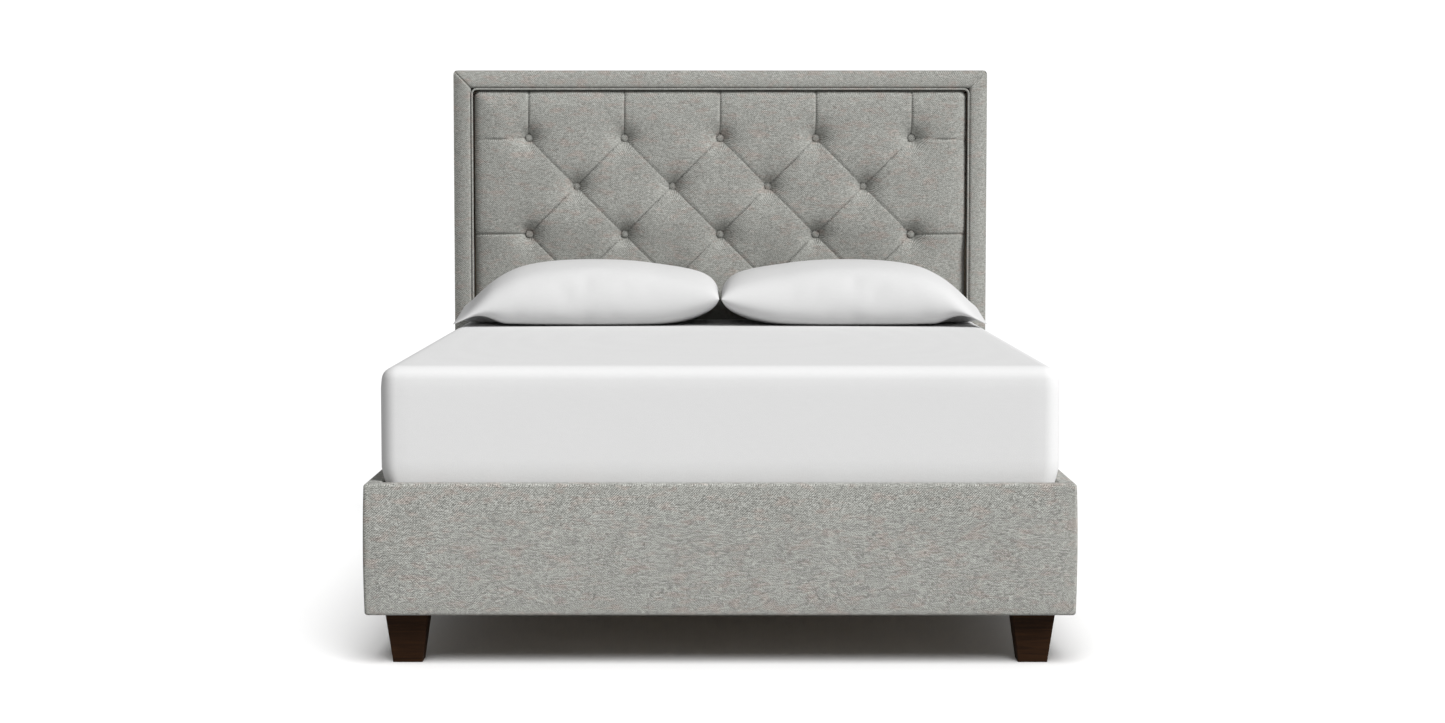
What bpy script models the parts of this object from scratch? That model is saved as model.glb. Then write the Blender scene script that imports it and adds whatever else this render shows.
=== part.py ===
"""Upholstered headboard bed for a 60 x 80 inch mattress.

Metres, +Z up. The origin is on the floor, under the middle of the bed: +X is to the right for
someone who stands at the foot and looks at the headboard, and +Y runs from the foot to the
headboard. The bed is sized from its mattress: rails, slats and headboard follow from it.
"""

import math

import bmesh
import bpy
from mathutils import Vector

# ------------------------------------------------------------------ driving dimensions (metres)

CONTACT_GAP = 0.0003            # left between pieces that touch

# Mattress and pillows
MATTRESS_WIDTH = 1.524
MATTRESS_LENGTH = 2.032
MATTRESS_THICKNESS = 0.330
MATTRESS_EDGE_RADIUS = 0.035
MATTRESS_SIDE_GAP = 0.005       # mattress to the rail beside it
MATTRESS_END_GAP = 0.005        # mattress to the foot rail, and to the headboard
PILLOW_WIDTH = 0.758
PILLOW_DEPTH = 0.490
PILLOW_THICKNESS = 0.184
PILLOW_SPACING = 0.006          # between the two pillows
PILLOW_BACK_GAP = 0.008         # pillow to the tufted pad
PILLOW_CAGE_EXCESS = 1.063      # height of the cage that the smooth surface shrinks from
PILLOW_RIM = 0.25               # cage thickness along the rim, as a share of the middle's

# Rails
RAIL_HEIGHT = 0.2995
RAIL_PADDING = 0.008            # foam and cloth on the outer face
RAIL_BOARD_THICKNESS = 0.0254
RAIL_LINING = 0.004             # cloth turned down over the inner face
RAIL_EDGE_PADDING = 0.006       # along the top, the bottom and the outer ends
RAIL_EDGE_RADIUS = 0.007
MATTRESS_SINK = 0.0635          # slat tops to rail tops: how deep the mattress sits in the frame
LINING_CLEARANCE = 0.006        # slat tops to the lower edge of the lining

# Slats, ledgers and centre beam
SLAT_COUNT = 9
SLAT_WIDTH = 0.140
SLAT_THICKNESS = 0.019
SLAT_END_CLEARANCE = 0.004      # slat end to rail board
SLAT_MARGIN = 0.030             # first and last slat to the ends of the mattress
SLAT_EDGE_RADIUS = 0.003
LEDGER_WIDTH = 0.030
LEDGER_HEIGHT = 0.040
LEDGER_EDGE_RADIUS = 0.002
BEAM_WIDTH = 0.045
BEAM_HEIGHT = 0.070
BRACKET_THICKNESS = 0.003
BRACKET_DEPTH = 0.050

# Legs
LEG_HEIGHT = 0.120              # floor to the underside of the frame
LEG_TOP_SIZE = 0.099
LEG_BOTTOM_SIZE = 0.067
LEG_SIDE_INSET = 0.039
LEG_FOOT_INSET = 0.060
LEG_BACK_INSET = 0.004
LEG_EDGE_RADIUS = 0.002
CORNER_BLOCK_HEIGHT = 0.045
CORNER_BLOCK_MARGIN = 0.012     # block beyond the leg that it carries
CENTRE_LEG_SIZE = 0.040
CENTRE_LEG_CLEARANCE = 0.020    # floor to the lower end of the centre leg
FOOT_PAD_RADIUS = 0.019
FOOT_PAD_HEIGHT = 0.008
FOOT_PAD_TOP_SHARE = 0.8        # radius of the foot pad's top, as a share of its own
FOOT_STEM_RADIUS = 0.004
FOOT_STEM_LENGTH = 0.044
FOOT_BORE_SPARE = 0.016         # bore left above the stem

# Headboard
OVERALL_HEIGHT = 1.431
HEADBOARD_THICKNESS = 0.100
BORDER_WIDTH = 0.053
BORDER_PADDING = 0.012          # foam and cloth on the front of the border
BORDER_WALL = 0.006             # cloth and wadding on the border's sides
BORDER_EDGE_RADIUS = 0.006
BACK_PANEL_THICKNESS = 0.006
WELT_RADIUS = 0.003
WELT_CORNER_RADIUS = 0.020
PAD_SIDE_GAP = 0.013            # border to tufted pad, at the sides
PAD_TOP_GAP = 0.010             # border to tufted pad, at the top
PAD_RECESS = 0.004              # front of the border to front of the pad
PAD_THICKNESS = 0.045
PAD_EDGE_RADIUS = 0.014
PAD_BOTTOM_CLEARANCE = 0.004    # slat tops to the lower edge of the pad
TUFTING_BOARD_THICKNESS = 0.012

# Tufting: rows alternate between a wide row and one with a button fewer
BUTTON_COLUMNS = 5
BUTTON_ROWS = 4
BUTTON_SIDE_MARGIN = 0.161      # side of the pad to the outermost buttons
BUTTON_TOP_MARGIN = 0.140       # top of the pad to the first row
BUTTON_ROW_PITCH = 0.145
BUTTON_RADIUS = 0.0115
BUTTON_THICKNESS = 0.009
BUTTON_SHANK_RADIUS = 0.003
DIMPLE_DEPTH = 0.022
DIMPLE_RADIUS = 0.040
DIMPLE_FLOOR_MARGIN = 0.002     # dimple's floor beyond the button's rim
CUTTER_EXCESS = 0.010           # how far a cutting tool reaches beyond the pad
BUTTON_DOME = (                 # shares of the radius and of the thickness, from the face back
    (0.0, 0.0), (0.55, 0.12), (0.88, 0.40), (1.0, 0.72), (0.88, 1.0))

# ------------------------------------------------------------------ places that follow from them

RAIL_THICKNESS = RAIL_PADDING + RAIL_BOARD_THICKNESS + RAIL_LINING + 2 * CONTACT_GAP
BED_WIDTH = MATTRESS_WIDTH + 2 * (MATTRESS_SIDE_GAP + RAIL_THICKNESS)
BED_LENGTH = RAIL_THICKNESS + MATTRESS_LENGTH + 2 * MATTRESS_END_GAP + HEADBOARD_THICKNESS

SIDE_X = BED_WIDTH / 2
FOOT_Y = -BED_LENGTH / 2
BACK_Y = BED_LENGTH / 2
HEADBOARD_Y = BACK_Y - HEADBOARD_THICKNESS          # front of the border
BOARD_X = SIDE_X - RAIL_PADDING - CONTACT_GAP       # outer face of a side rail's board
BOARD_INNER_X = BOARD_X - RAIL_BOARD_THICKNESS
FOOT_BOARD_Y = FOOT_Y + RAIL_PADDING + CONTACT_GAP
FOOT_BOARD_INNER_Y = FOOT_BOARD_Y + RAIL_BOARD_THICKNESS

FRAME_BOTTOM = LEG_HEIGHT
RAIL_TOP = FRAME_BOTTOM + RAIL_HEIGHT
SLAT_TOP = RAIL_TOP - MATTRESS_SINK
SLAT_BOTTOM = SLAT_TOP - SLAT_THICKNESS
BEAM_TOP = SLAT_BOTTOM - CONTACT_GAP
BEAM_BOTTOM = BEAM_TOP - BEAM_HEIGHT
MATTRESS_BOTTOM = SLAT_TOP + CONTACT_GAP
MATTRESS_TOP = MATTRESS_BOTTOM + MATTRESS_THICKNESS

BORDER_INNER_X = SIDE_X - BORDER_WIDTH
BORDER_BACK_Y = BACK_Y - BACK_PANEL_THICKNESS - CONTACT_GAP
POST_OUTER_X = SIDE_X - BORDER_WALL - CONTACT_GAP
POST_INNER_X = BORDER_INNER_X + BORDER_WALL + CONTACT_GAP
POST_FRONT_Y = HEADBOARD_Y + BORDER_PADDING + CONTACT_GAP
POST_TOP = OVERALL_HEIGHT - BORDER_WALL - CONTACT_GAP
TOP_BEAM_BOTTOM = OVERALL_HEIGHT - BORDER_WIDTH + BORDER_WALL + CONTACT_GAP
PAD_FRONT_Y = HEADBOARD_Y + PAD_RECESS
TUFTING_BOARD_Y = PAD_FRONT_Y + PAD_THICKNESS + CONTACT_GAP
PAD_X = BORDER_INNER_X - PAD_SIDE_GAP
PAD_TOP = OVERALL_HEIGHT - BORDER_WIDTH - PAD_TOP_GAP
PAD_BOTTOM = SLAT_TOP + PAD_BOTTOM_CLEARANCE

# ------------------------------------------------------------------ scene and collections

for old_object in list(bpy.data.objects):
    bpy.data.objects.remove(old_object, do_unlink=True)

PARTS = bpy.data.collections.new("upholstered_headboard_bed")
CUTTERS = bpy.data.collections.new("cutters")
for collection in (PARTS, CUTTERS):
    bpy.context.scene.collection.children.link(collection)

BED = bpy.data.objects.new("bed", None)
PARTS.objects.link(BED)


def make_material(name, colour, roughness, metallic=0.0):
    """A plain Principled material: colour, roughness and metallic value."""
    material = bpy.data.materials.new(name)
    material.use_nodes = True
    shader = material.node_tree.nodes["Principled BSDF"]
    shader.inputs["Base Color"].default_value = (*colour, 1.0)
    shader.inputs["Roughness"].default_value = roughness
    shader.inputs["Metallic"].default_value = metallic
    return material


UPHOLSTERY = make_material("upholstery_cloth", (0.36, 0.36, 0.33), 0.95)
BACK_CLOTH = make_material("back_cloth", (0.05, 0.05, 0.05), 0.95)
BED_LINEN = make_material("bed_linen", (0.80, 0.80, 0.80), 0.90)
FRAME_WOOD = make_material("frame_wood", (0.62, 0.45, 0.27), 0.60)
LEG_WOOD = make_material("leg_wood", (0.024, 0.011, 0.006), 0.45)
STEEL = make_material("zinc_steel", (0.55, 0.56, 0.58), 0.40, 1.0)
FOOT_PLASTIC = make_material("foot_plastic", (0.02, 0.02, 0.02), 0.50)

# ------------------------------------------------------------------ modelling helpers


def add_object(name, mesh, material, centre=(0, 0, 0)):
    """Put a mesh in the bed's collection, with its material, parented to the bed's empty."""
    piece = bpy.data.objects.new(name, mesh)
    PARTS.objects.link(piece)
    piece.parent = BED
    piece.location = centre
    if not mesh.materials:
        mesh.materials.append(material)
    return piece


def box_bmesh(size):
    """A box of the given size, centred on its own origin."""
    shape = bmesh.new()
    bmesh.ops.create_cube(shape, size=1.0)
    bmesh.ops.scale(shape, vec=Vector(size), verts=shape.verts)
    return shape


def to_mesh(shape, name):
    """Turn a bmesh into a mesh, with smooth rounds and sharp corners."""
    mesh = bpy.data.meshes.new(name)
    bmesh.ops.recalc_face_normals(shape, faces=shape.faces)
    shape.to_mesh(mesh)
    shape.free()
    mesh.shade_smooth()
    mesh.set_sharp_from_angle(angle=math.radians(40))
    return mesh


def box(name, low, high, material, radius=0.0, segments=2, rounded=None):
    """A box between two corners. The edges that `rounded` picks, by their middle, are rounded."""
    low, high = Vector(low), Vector(high)
    shape = box_bmesh(high - low)
    if radius:
        edges = [edge for edge in shape.edges
                 if rounded is None or rounded((edge.verts[0].co + edge.verts[1].co) / 2)]
        bmesh.ops.bevel(shape, geom=edges, offset=radius, segments=segments, profile=0.5,
                        affect="EDGES", clamp_overlap=True)
    return add_object(name, to_mesh(shape, name), material, (low + high) / 2)


def cutter(name, mesh_or_piece, centre=(0, 0, 0)):
    """A wire-drawn object that only cuts others."""
    tool = bpy.data.objects.new(name, mesh_or_piece)
    CUTTERS.objects.link(tool)
    tool.location = centre
    tool.hide_render = True
    tool.display_type = "WIRE"
    return tool


def box_cutter(name, low, high, allowance=CONTACT_GAP):
    """A cutting box that is larger than the piece it makes room for by the contact gap."""
    low = Vector(low) - Vector((allowance,) * 3)
    high = Vector(high) + Vector((allowance,) * 3)
    return cutter(name, to_mesh(box_bmesh(high - low), name), (low + high) / 2)


def cut(piece, tool):
    """Take the cutter's shape out of the piece."""
    modifier = piece.modifiers.new(tool.name, "BOOLEAN")
    modifier.operation = "DIFFERENCE"
    modifier.object = tool


def mirrored_corners(side, low, high):
    """The corners of a box given for the right side (side = 1), or of its mirror image (-1)."""
    if side > 0:
        return low, high
    return (-high[0], low[1], low[2]), (-low[0], high[1], high[2])


SIDES = (("left", -1), ("right", 1))

# ------------------------------------------------------------------ rails: boards and covers


def rail_cover(name, low, high, board, opening, rounded):
    """A padded cloth cover: a shell round its board, open on the inside below the lining."""
    cover = box(name, low, high, UPHOLSTERY, RAIL_EDGE_RADIUS, 3, rounded)
    cut(cover, box_cutter(name + "_board_space", *board))
    cut(cover, box_cutter(name + "_inner_opening", *opening, allowance=0.0))
    return cover


board_bottom = FRAME_BOTTOM + RAIL_EDGE_PADDING + CONTACT_GAP
board_top = RAIL_TOP - RAIL_EDGE_PADDING - CONTACT_GAP
lining_bottom = SLAT_TOP + LINING_CLEARANCE
opening_bottom = FRAME_BOTTOM - RAIL_EDGE_PADDING
side_rail_foot_y = FOOT_Y + RAIL_THICKNESS + CONTACT_GAP
side_rail_head_y = HEADBOARD_Y - CONTACT_GAP

foot_board = ((-BOARD_X, FOOT_BOARD_Y, board_bottom), (BOARD_X, FOOT_BOARD_INNER_Y, board_top))
box("foot_rail_board", *foot_board, FRAME_WOOD)
rail_cover(
    "foot_rail_cover",
    (-SIDE_X, FOOT_Y, FRAME_BOTTOM), (SIDE_X, FOOT_Y + RAIL_THICKNESS, RAIL_TOP),
    foot_board,
    ((-BOARD_INNER_X, FOOT_BOARD_INNER_Y, opening_bottom),
     (BOARD_INNER_X, FOOT_Y + 2 * RAIL_THICKNESS, lining_bottom)),
    lambda middle: middle.y < 0 or middle.z > 0)

for side_name, side in SIDES:
    board = mirrored_corners(
        side, (BOARD_INNER_X, side_rail_foot_y, board_bottom), (BOARD_X, side_rail_head_y, board_top))
    box(side_name + "_rail_board", *board, FRAME_WOOD)
    cover_low, cover_high = mirrored_corners(
        side, (SIDE_X - RAIL_THICKNESS, side_rail_foot_y, FRAME_BOTTOM),
        (SIDE_X, side_rail_head_y, RAIL_TOP))
    through_low, through_high = mirrored_corners(
        side, (BOARD_INNER_X, FOOT_Y, board_bottom), (BOARD_X, HEADBOARD_Y + RAIL_THICKNESS, board_top))
    opening = mirrored_corners(
        side, (SIDE_X - 2 * RAIL_THICKNESS, FOOT_Y, opening_bottom),
        (BOARD_INNER_X, HEADBOARD_Y + RAIL_THICKNESS, lining_bottom))
    rail_cover(
        side_name + "_rail_cover", cover_low, cover_high, (through_low, through_high), opening,
        lambda middle, side=side: middle.y == 0 and (middle.z > 0 or middle.x * side > 0))

# ------------------------------------------------------------------ slat base

for side_name, side in SIDES:
    box(side_name + "_slat_ledger", *mirrored_corners(
        side, (BOARD_INNER_X - CONTACT_GAP - LEDGER_WIDTH, FOOT_BOARD_INNER_Y + CONTACT_GAP,
               BEAM_TOP - LEDGER_HEIGHT),
        (BOARD_INNER_X - CONTACT_GAP, side_rail_head_y, BEAM_TOP)), FRAME_WOOD, LEDGER_EDGE_RADIUS)

mattress_foot_y = FOOT_Y + RAIL_THICKNESS + MATTRESS_END_GAP
mattress_head_y = HEADBOARD_Y - MATTRESS_END_GAP
slat_half_length = BOARD_INNER_X - SLAT_END_CLEARANCE
first_slat_y = mattress_foot_y + SLAT_MARGIN + SLAT_WIDTH / 2
last_slat_y = mattress_head_y - SLAT_MARGIN - SLAT_WIDTH / 2
for number in range(SLAT_COUNT):
    slat_y = first_slat_y + (last_slat_y - first_slat_y) * number / (SLAT_COUNT - 1)
    box(f"slat_{number + 1}",
        (-slat_half_length, slat_y - SLAT_WIDTH / 2, SLAT_BOTTOM),
        (slat_half_length, slat_y + SLAT_WIDTH / 2, SLAT_TOP), FRAME_WOOD, SLAT_EDGE_RADIUS)

bracket_foot_y = FOOT_BOARD_INNER_Y + CONTACT_GAP
bracket_head_y = POST_FRONT_Y - CONTACT_GAP
beam_low = (-BEAM_WIDTH / 2, bracket_foot_y + BRACKET_THICKNESS + CONTACT_GAP, BEAM_BOTTOM)
beam_high = (BEAM_WIDTH / 2, bracket_head_y - BRACKET_THICKNESS - CONTACT_GAP, BEAM_TOP)
box("centre_beam", beam_low, beam_high, FRAME_WOOD)
beam_space = box_cutter("centre_beam_space", beam_low, (beam_high[0], beam_high[1], RAIL_TOP))

bracket_half_width = BEAM_WIDTH / 2 + CONTACT_GAP + BRACKET_THICKNESS
bracket_bottom = BEAM_BOTTOM - CONTACT_GAP - BRACKET_THICKNESS
for end_name, near_y, far_y in (
        ("foot", bracket_foot_y, bracket_foot_y + BRACKET_DEPTH),
        ("head", bracket_head_y - BRACKET_DEPTH, bracket_head_y)):
    bracket = box(f"centre_beam_{end_name}_bracket", (-bracket_half_width, near_y, bracket_bottom),
                  (bracket_half_width, far_y, BEAM_TOP), STEEL)
    cut(bracket, beam_space)

# ------------------------------------------------------------------ legs


def tapered_leg(name, x, y):
    """A square block leg that narrows towards the floor."""
    height = LEG_HEIGHT - CONTACT_GAP
    shape = box_bmesh((LEG_TOP_SIZE, LEG_TOP_SIZE, height))
    bottom = [vertex for vertex in shape.verts if vertex.co.z < 0]
    taper = LEG_BOTTOM_SIZE / LEG_TOP_SIZE
    bmesh.ops.scale(shape, vec=Vector((taper, taper, 1.0)), verts=bottom)
    upright = [edge for edge in shape.edges if edge.verts[0].co.z * edge.verts[1].co.z < 0]
    bmesh.ops.bevel(shape, geom=upright, offset=LEG_EDGE_RADIUS, segments=2, profile=0.5,
                    affect="EDGES")
    return add_object(name, to_mesh(shape, name), LEG_WOOD, (x, y, height / 2))


leg_x = SIDE_X - LEG_SIDE_INSET - LEG_TOP_SIZE / 2
foot_leg_y = FOOT_Y + LEG_FOOT_INSET + LEG_TOP_SIZE / 2
head_leg_y = BACK_Y - LEG_BACK_INSET - LEG_TOP_SIZE / 2
for side_name, side in SIDES:
    tapered_leg("leg_foot_" + side_name, side * leg_x, foot_leg_y)
    tapered_leg("leg_head_" + side_name, side * leg_x, head_leg_y)
    block_inner_x = leg_x - LEG_TOP_SIZE / 2 - CORNER_BLOCK_MARGIN
    block_back_y = foot_leg_y + LEG_TOP_SIZE / 2 + CORNER_BLOCK_MARGIN
    box("foot_corner_block_" + side_name, *mirrored_corners(
        side, (block_inner_x, FOOT_BOARD_INNER_Y + CONTACT_GAP, FRAME_BOTTOM),
        (BOARD_INNER_X - CONTACT_GAP, block_back_y, FRAME_BOTTOM + CORNER_BLOCK_HEIGHT)), FRAME_WOOD)


def turned(name, profile, material, steps, place, rotation=(0, 0, 0)):
    """A piece turned about its own Z from a profile of (radius, height), top to bottom."""
    shape = bmesh.new()
    points = [shape.verts.new((radius, 0.0, height)) for radius, height in profile]
    for upper, lower in zip(points, points[1:]):
        shape.edges.new((upper, lower))
    mesh = bpy.data.meshes.new(name)
    shape.to_mesh(mesh)
    shape.free()
    piece = add_object(name, mesh, material, place)
    piece.rotation_euler = rotation
    screw = piece.modifiers.new("turned", "SCREW")
    screw.steps = screw.render_steps = steps
    screw.use_merge_vertices = True
    screw.merge_threshold = 0.00001
    screw.use_smooth_shade = True
    return piece


def turned_cutter(name, profile, steps, place, rotation=(0, 0, 0)):
    """A cutting tool turned in the same way as a piece."""
    tool = turned(name, profile, FOOT_PLASTIC, steps, place, rotation)
    PARTS.objects.unlink(tool)
    CUTTERS.objects.link(tool)
    tool.hide_render = True
    tool.display_type = "WIRE"
    return tool


ROUND_STEPS = 16
stem_top = FOOT_PAD_HEIGHT + FOOT_STEM_LENGTH
turned("levelling_foot", (
    (0.0, stem_top), (FOOT_STEM_RADIUS, stem_top), (FOOT_STEM_RADIUS, FOOT_PAD_HEIGHT),
    (FOOT_PAD_RADIUS * FOOT_PAD_TOP_SHARE, FOOT_PAD_HEIGHT), (FOOT_PAD_RADIUS, FOOT_PAD_HEIGHT / 2),
    (FOOT_PAD_RADIUS, 0.0), (0.0, 0.0)), FOOT_PLASTIC, ROUND_STEPS, (0, 0, 0))

centre_leg = box(
    "centre_leg", (-CENTRE_LEG_SIZE / 2, -CENTRE_LEG_SIZE / 2, CENTRE_LEG_CLEARANCE),
    (CENTRE_LEG_SIZE / 2, CENTRE_LEG_SIZE / 2, BEAM_BOTTOM - CONTACT_GAP), FRAME_WOOD)
bore_radius = FOOT_STEM_RADIUS + CONTACT_GAP
bore_top = stem_top + FOOT_BORE_SPARE
cut(centre_leg, turned_cutter("levelling_foot_bore", (
    (0.0, bore_top), (bore_radius, bore_top), (bore_radius, 0.0), (0.0, 0.0)),
    ROUND_STEPS, (0, 0, 0)))

# ------------------------------------------------------------------ headboard: wooden frame

post_boxes = {
    side_name: mirrored_corners(
        side, (POST_INNER_X, POST_FRONT_Y, FRAME_BOTTOM), (POST_OUTER_X, BORDER_BACK_Y, POST_TOP))
    for side_name, side in SIDES}
between_posts_x = POST_INNER_X - CONTACT_GAP
top_beam = ((-between_posts_x, POST_FRONT_Y, TOP_BEAM_BOTTOM), (between_posts_x, BORDER_BACK_Y, POST_TOP))
lower_beam = ((-between_posts_x, POST_FRONT_Y, FRAME_BOTTOM), (between_posts_x, BORDER_BACK_Y, BEAM_TOP))
tufting_board = (
    (-between_posts_x, TUFTING_BOARD_Y, BEAM_TOP + CONTACT_GAP),
    (between_posts_x, TUFTING_BOARD_Y + TUFTING_BOARD_THICKNESS, TOP_BEAM_BOTTOM - CONTACT_GAP))

for side_name, _ in SIDES:
    box(f"headboard_{side_name}_post", *post_boxes[side_name], FRAME_WOOD)
box("headboard_top_beam", *top_beam, FRAME_WOOD)
box("headboard_lower_beam", *lower_beam, FRAME_WOOD)
box("tufting_board", *tufting_board, FRAME_WOOD)
box("headboard_back_panel", (-SIDE_X, BACK_Y - BACK_PANEL_THICKNESS, FRAME_BOTTOM),
    (SIDE_X, BACK_Y, OVERALL_HEIGHT), BACK_CLOTH)

# ------------------------------------------------------------------ headboard: mitred border

# Behind the front of the tufting board, the border has no inner wall.
behind_the_board = (tufting_board[0], (between_posts_x, BACK_Y, tufting_board[1][2]))
inside_the_border = [
    box_cutter(name + "_space", *corners) for name, corners in (
        ("left_post", post_boxes["left"]), ("right_post", post_boxes["right"]),
        ("top_beam", top_beam), ("lower_beam", lower_beam), ("tufting_board", behind_the_board))]


def border_piece(name, low, high, rounded, mitres):
    """One length of padded border, cut at 45 degrees at the headboard's top corners.

    Each mitre is (side, keep): the plane runs from the outer top corner of that side to the inner
    one, and keep is 1 for what lies above it and -1 for what lies below it.
    """
    low, high = Vector(low), Vector(high)
    shape = box_bmesh(high - low)
    bmesh.ops.translate(shape, vec=(low + high) / 2, verts=shape.verts)
    edges = [edge for edge in shape.edges if rounded((edge.verts[0].co + edge.verts[1].co) / 2)]
    bmesh.ops.bevel(shape, geom=edges, offset=BORDER_EDGE_RADIUS, segments=3, profile=0.5,
                    affect="EDGES")
    for side, keep in mitres:
        normal = Vector((-side, 0.0, 1.0)).normalized() * -keep
        corner = Vector((side * SIDE_X, 0.0, OVERALL_HEIGHT)) - normal * (CONTACT_GAP / 2)
        cut_geometry = bmesh.ops.bisect_plane(
            shape, geom=shape.verts[:] + shape.edges[:] + shape.faces[:], dist=1e-6,
            plane_co=corner, plane_no=normal, clear_outer=True)["geom_cut"]
        rim = [item for item in cut_geometry if isinstance(item, bmesh.types.BMEdge)]
        bmesh.ops.edgeloop_fill(shape, edges=rim)
    piece = add_object(name, to_mesh(shape, name), UPHOLSTERY)
    for space in inside_the_border:
        cut(piece, space)
    return piece


border_top_bottom = OVERALL_HEIGHT - BORDER_WIDTH
border_piece(
    "border_top", (-SIDE_X, HEADBOARD_Y, border_top_bottom), (SIDE_X, BORDER_BACK_Y, OVERALL_HEIGHT),
    lambda middle: middle.y == HEADBOARD_Y and middle.x == 0, ((-1, 1), (1, 1)))
for side_name, side in SIDES:
    border_piece(
        "border_" + side_name, *mirrored_corners(
            side, (BORDER_INNER_X, HEADBOARD_Y, FRAME_BOTTOM), (SIDE_X, BORDER_BACK_Y, OVERALL_HEIGHT)),
        lambda middle: middle.y == HEADBOARD_Y and FRAME_BOTTOM < middle.z < OVERALL_HEIGHT,
        ((side, -1),))

# ------------------------------------------------------------------ headboard: welt, pad, buttons


def arch_points(half_width, bottom, top, radius, arc_steps):
    """An arch in the XZ plane: up the left side, over rounded corners and down the right."""
    points = [(-half_width, bottom)]
    for side, start in ((-1, math.pi), (1, math.pi / 2)):
        for step in range(arc_steps + 1):
            angle = start - math.pi / 2 * step / arc_steps
            points.append((side * (half_width - radius) + radius * math.cos(angle),
                           top - radius + radius * math.sin(angle)))
    points.append((half_width, bottom))
    return points


def border_welt():
    """The piping that follows the inner edge of the border."""
    curve = bpy.data.curves.new("border_welt", "CURVE")
    curve.dimensions = "3D"
    curve.bevel_depth = WELT_RADIUS
    curve.bevel_resolution = 2
    curve.use_fill_caps = True
    inset = WELT_RADIUS + CONTACT_GAP
    route = arch_points(BORDER_INNER_X - inset, PAD_BOTTOM, border_top_bottom - inset,
                        WELT_CORNER_RADIUS, 6)
    spline = curve.splines.new("POLY")
    spline.points.add(len(route) - 1)
    for point, (x, z) in zip(spline.points, route):
        point.co = (x, HEADBOARD_Y + WELT_RADIUS, z, 1.0)
    curve.materials.append(UPHOLSTERY)
    welt = bpy.data.objects.new("border_welt", curve)
    PARTS.objects.link(welt)
    welt.parent = BED


border_welt()

tufted_pad = box(
    "tufted_pad", (-PAD_X, PAD_FRONT_Y, PAD_BOTTOM), (PAD_X, PAD_FRONT_Y + PAD_THICKNESS, PAD_TOP),
    UPHOLSTERY, PAD_EDGE_RADIUS, 3, lambda middle: middle.y < 0)

# A button's own +Z points out of the headboard, towards the foot of the bed.
FACING_FOOT = (math.radians(90), 0, 0)
button_back = -DIMPLE_DEPTH + CONTACT_GAP
button_face = button_back + BUTTON_THICKNESS
shank_end = -(PAD_THICKNESS - CONTACT_GAP)
button_profile = (
    *((BUTTON_RADIUS * out, button_face - BUTTON_THICKNESS * down) for out, down in BUTTON_DOME),
    (BUTTON_SHANK_RADIUS, button_back), (BUTTON_SHANK_RADIUS, shank_end), (0.0, shank_end))
dimple_floor_radius = BUTTON_RADIUS + DIMPLE_FLOOR_MARGIN
dimple_hole_radius = BUTTON_SHANK_RADIUS + CONTACT_GAP
hole_end = -PAD_THICKNESS - CUTTER_EXCESS
dimple_profile = (
    (0.0, CUTTER_EXCESS), (DIMPLE_RADIUS, CUTTER_EXCESS), (DIMPLE_RADIUS, 0.0),
    (dimple_floor_radius, -DIMPLE_DEPTH), (dimple_hole_radius, -DIMPLE_DEPTH),
    (dimple_hole_radius, hole_end), (0.0, hole_end))

column_pitch = 2 * (PAD_X - BUTTON_SIDE_MARGIN) / (BUTTON_COLUMNS - 1)
for row in range(BUTTON_ROWS):
    in_row = BUTTON_COLUMNS - row % 2
    row_z = PAD_TOP - BUTTON_TOP_MARGIN - row * BUTTON_ROW_PITCH
    for column in range(in_row):
        place = ((column - (in_row - 1) / 2) * column_pitch, PAD_FRONT_Y, row_z)
        label = f"{row + 1}_{column + 1}"
        turned("tuft_button_" + label, button_profile, UPHOLSTERY, 12, place, FACING_FOOT)
        cut(tufted_pad, turned_cutter("dimple_" + label, dimple_profile, 12, place, FACING_FOOT))

# ------------------------------------------------------------------ mattress and pillows

box("mattress", (-MATTRESS_WIDTH / 2, mattress_foot_y, MATTRESS_BOTTOM),
    (MATTRESS_WIDTH / 2, mattress_head_y, MATTRESS_TOP), BED_LINEN, MATTRESS_EDGE_RADIUS, 4)


def pillow(name, centre):
    """A stuffed pillow: a coarse cage, thin along its rim, under a Subdivision Surface."""
    shape = box_bmesh((PILLOW_WIDTH, PILLOW_DEPTH, PILLOW_THICKNESS))
    bmesh.ops.subdivide_edges(shape, edges=shape.edges[:], cuts=2, use_grid_fill=True)
    for vertex in shape.verts:
        on_rim = max(abs(vertex.co.x) * 2 / PILLOW_WIDTH, abs(vertex.co.y) * 2 / PILLOW_DEPTH)
        if on_rim > 0.99:
            vertex.co.z *= PILLOW_RIM
        vertex.co.z *= PILLOW_CAGE_EXCESS
    piece = add_object(name, to_mesh(shape, name), BED_LINEN, centre)
    surface = piece.modifiers.new("stuffing", "SUBSURF")
    surface.levels = surface.render_levels = 2
    return piece


pillow_x = (PILLOW_WIDTH + PILLOW_SPACING) / 2
pillow_centre = (pillow_x, PAD_FRONT_Y - PILLOW_BACK_GAP - PILLOW_DEPTH / 2,
                 MATTRESS_TOP + CONTACT_GAP + PILLOW_THICKNESS / 2)
for side_name, side in SIDES:
    pillow("pillow_" + side_name, (side * pillow_x, *pillow_centre[1:]))
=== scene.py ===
# %% [markdown]
# # An upholstered bed with a buttoned headboard
#
# The bed's working model is loaded first as a fixed frame. It has every board, slat, leg and
# cushion at its real size, but its soft parts are plain blocks. This lesson gives each of them the
# shape and the finish of the real thing: padded rails under a grey tweed, a tufted headboard in a
# padded border, a mattress in a fitted sheet and two stuffed pillows.
#
# Everything is in metres. The head of the bed is towards +Y and the floor is at Z = 0.

import math

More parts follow.
